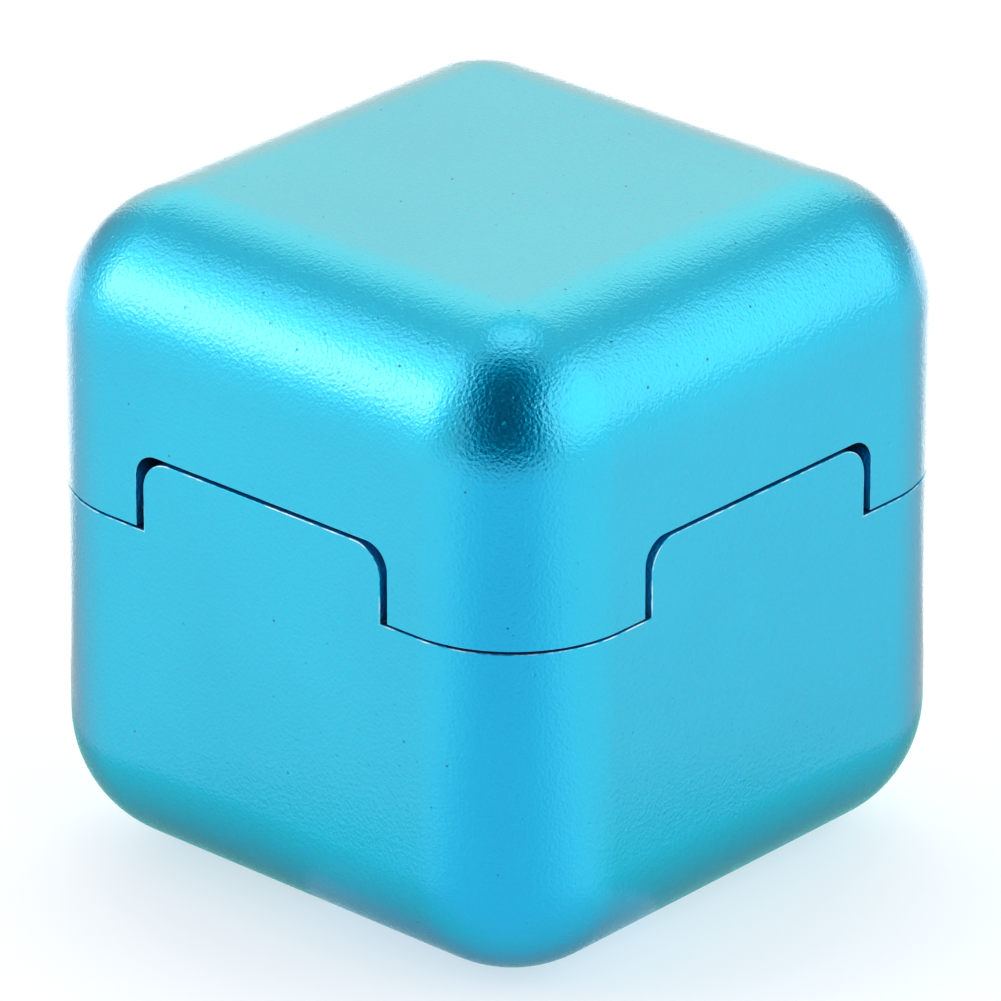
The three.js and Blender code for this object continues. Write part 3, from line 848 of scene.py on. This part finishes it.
def softbox(name, azimuth, elevation, width, height, distance, radiance, colour=WHITE):
    """An area light that faces the cube, sized and placed in metres."""
    lamp = bpy.data.lights.new(name, "AREA")
    lamp.shape = "RECTANGLE"
    lamp.size, lamp.size_y = width, height
    lamp.energy = radiance * math.pi * width * height
    lamp.color = colour
    light = bpy.data.objects.new(name, lamp)
    direction = towards(azimuth, elevation)
    light.location = CENTRE + direction * distance
    light.rotation_mode = "QUATERNION"
    light.rotation_quaternion = direction.to_track_quat("Z", "Y")
    light.visible_camera = False
    bpy.context.scene.collection.objects.link(light)


def floor_finish(name, glow, grey):
    """A matt surface that glows a little, so that no deep shadow shows on it."""
    finish = Finish(name, Base_Color=(*grey, 1), Roughness=0.9, Specular_IOR_Level=0.0)
    finish.shader.inputs["Emission Color"].default_value = (*glow, 1)
    finish.shader.inputs["Emission Strength"].default_value = FLOOR_GLOW
    return finish


def studio_floor():
    """A pale floor, just under the cube so that their faces don't coincide."""
    bm = bmesh.new()
    bmesh.ops.create_grid(bm, x_segments=1, y_segments=1, size=3)
    just_under = CAD_BOUNDS[0].z - 0.00002
    bmesh.ops.translate(bm, vec=(0, 0, just_under), verts=bm.verts)
    floor = new_piece(bm)
    floor.name = "studio_floor"
    floor.data.materials.append(floor_finish("studio_floor", WHITE, FLOOR_GREY).material)


def card_finish(name, middle, glow, grey, middle_shade_grey):
    """The floor's finish, with another grey round the card's middle azimuth, for painted shade there."""
    finish = floor_finish(name, glow, grey)
    way = finish.node("ShaderNodeVectorMath", {0: finish.place}, operation="NORMALIZE").outputs[0]
    dot = finish.node("ShaderNodeVectorMath", {0: way, 1: towards(middle, 0)}, operation="DOT_PRODUCT")
    outer, inner = math.cos(math.radians(36)), math.cos(math.radians(16))
    share = finish.spread(dot.outputs["Value"], outer, inner)
    tint = finish.mix(share, (*grey, 1), (*middle_shade_grey, 1))
    finish.link(tint, finish.shader.inputs["Base Color"])
    return finish.material


def floor_card(name, turn, reach, glow, grey, middle_shade_grey):
    """A card on the floor over a range of azimuths and distances, seen only in the cube's reflections,
    where its greys and glow are painted shade and light.
    """
    above_floor = 0.0001
    bm = bmesh.new()
    edges = [towards(angle, 0) for angle in range(turn[0], turn[1] + 1, 4)]
    outline = [CENTRE + direction * reach[1] for direction in edges]
    outline += [CENTRE + direction * reach[0] for direction in reversed(edges)]
    bm.faces.new([bm.verts.new((p.x, p.y, above_floor)) for p in outline])
    bmesh.ops.triangulate(bm, faces=bm.faces)
    card = new_piece(bm)
    card.name = name
    card.data.materials.append(card_finish(name, (turn[0] + turn[1]) / 2, glow, grey, middle_shade_grey))
    card.visible_camera = card.visible_diffuse = card.visible_shadow = False


def dark_patch(tree, direction):
    """A soft-edged round patch of the world, 1 round one direction and 0 elsewhere."""
    dot = tree.nodes.new("ShaderNodeVectorMath")
    dot.operation = "DOT_PRODUCT"
    tree.links.new(tree.nodes.new("ShaderNodeTexCoord").outputs["Generated"], dot.inputs[0])
    dot.inputs[1].default_value = direction
    patch = tree.nodes.new("ShaderNodeMapRange")
    patch.interpolation_type = "SMOOTHSTEP"
    tree.links.new(dot.outputs["Value"], patch.inputs["Value"])
    patch.inputs["From Min"].default_value = math.cos(math.radians(34))
    patch.inputs["From Max"].default_value = math.cos(math.radians(22))
    return patch.outputs["Result"]


def highest(tree, values):
    """The highest of some values, as one value."""
    result = values[0]
    for value in values[1:]:
        most = tree.nodes.new("ShaderNodeMath")
        most.operation = "MAXIMUM"
        tree.links.new(result, most.inputs[0])
        tree.links.new(value, most.inputs[1])
        result = most.outputs[0]
    return result


def studio_world():
    """A pale room, dark blue where the photographer stands."""
    world = bpy.data.worlds.new("studio")
    world.use_nodes = True
    tree = world.node_tree
    background = tree.nodes["Background"]
    darkness = highest(tree, [dark_patch(tree, towards(36, elevation)) for elevation in (12, 34, 56)])
    level = tree.nodes.new("ShaderNodeMapRange")
    tree.links.new(darkness, level.inputs["Value"])
    level.inputs["To Min"].default_value = 0.55
    level.inputs["To Max"].default_value = 0.04
    tree.links.new(level.outputs["Result"], background.inputs["Strength"])
    tint = tree.nodes.new("ShaderNodeMix")
    tint.data_type = "RGBA"
    tree.links.new(darkness, tint.inputs[0])
    tint.inputs[6].default_value = (*WHITE, 1)
    tint.inputs[7].default_value = (0.6, 1.25, 2.3, 1)
    tree.links.new(tint.outputs[2], background.inputs["Color"])
    bpy.context.scene.world = world


studio_floor()
# Painted shade in the reflections: a darker, bluish floor in front of the cube.
floor_card("front_painted_shade_card", (-2, 78), (0.010, 1.2), (0.9, 1.1, 1.2), FLOOR_GREY, (0.16, 0.28, 0.36))
# Painted light in the reflections: a brightly glowing floor behind the cube, though it is no lamp.
floor_card("back_painted_light_card", (170, 278), (0.030, 1.2), (2.8, 2.8, 2.8), FLOOR_GREY, FLOOR_GREY)
# Painted shade and bounce light in the reflections: a darker, cyan-tinted floor ring just round the cube's
# foot.
floor_card("near_painted_shade_card", (78, 358), (0.010, 0.028), (0.52, 0.92, 0.86), NEAR_SHADE_GREY, NEAR_SHADE_GREY)
studio_world()
softbox("left_panel", -45, 30, 0.48, 0.66, 0.65, 0.56)
softbox("left_hot", -46, 27, 0.26, 0.36, 0.64, 0.26)
softbox("left_glint", -46, 23, 0.24, 0.24, 0.63, 1.75, ROSE)
softbox("right_panel", 112, 30, 0.88, 0.60, 0.65, 0.58)
softbox("back_panel", -138, 27, 0.68, 0.58, 0.65, 0.60, WARM)
softbox("back_strip", -138, 42, 0.60, 0.16, 0.64, 0.08, WARM)
softbox("top_panel", -138, 76, 0.30, 0.26, 0.65, 0.66)
bpy.context.scene.view_settings.view_transform = "Standard"
bpy.context.scene.view_settings.look = "High Contrast"

# ---- The camera ----
CAMERA_EDGES = 14.126  # its distance from the cube's centre, in edges of the cube
camera = bpy.data.objects.new("camera", bpy.data.cameras.new("camera"))
camera.data.lens = 349.9
camera.data.sensor_width = 36
camera.data.shift_x = 0.0028
camera.data.shift_y = 0.0040
camera.data.clip_start, camera.data.clip_end = 0.01, 20
view_from = towards(42.17, 24.89)
camera.location = CENTRE + view_from * CAMERA_EDGES * EDGE * MM
camera.rotation_mode = "QUATERNION"
camera.rotation_quaternion = view_from.to_track_quat("Z", "Y")
bpy.context.scene.collection.objects.link(camera)
bpy.context.scene.camera = camera
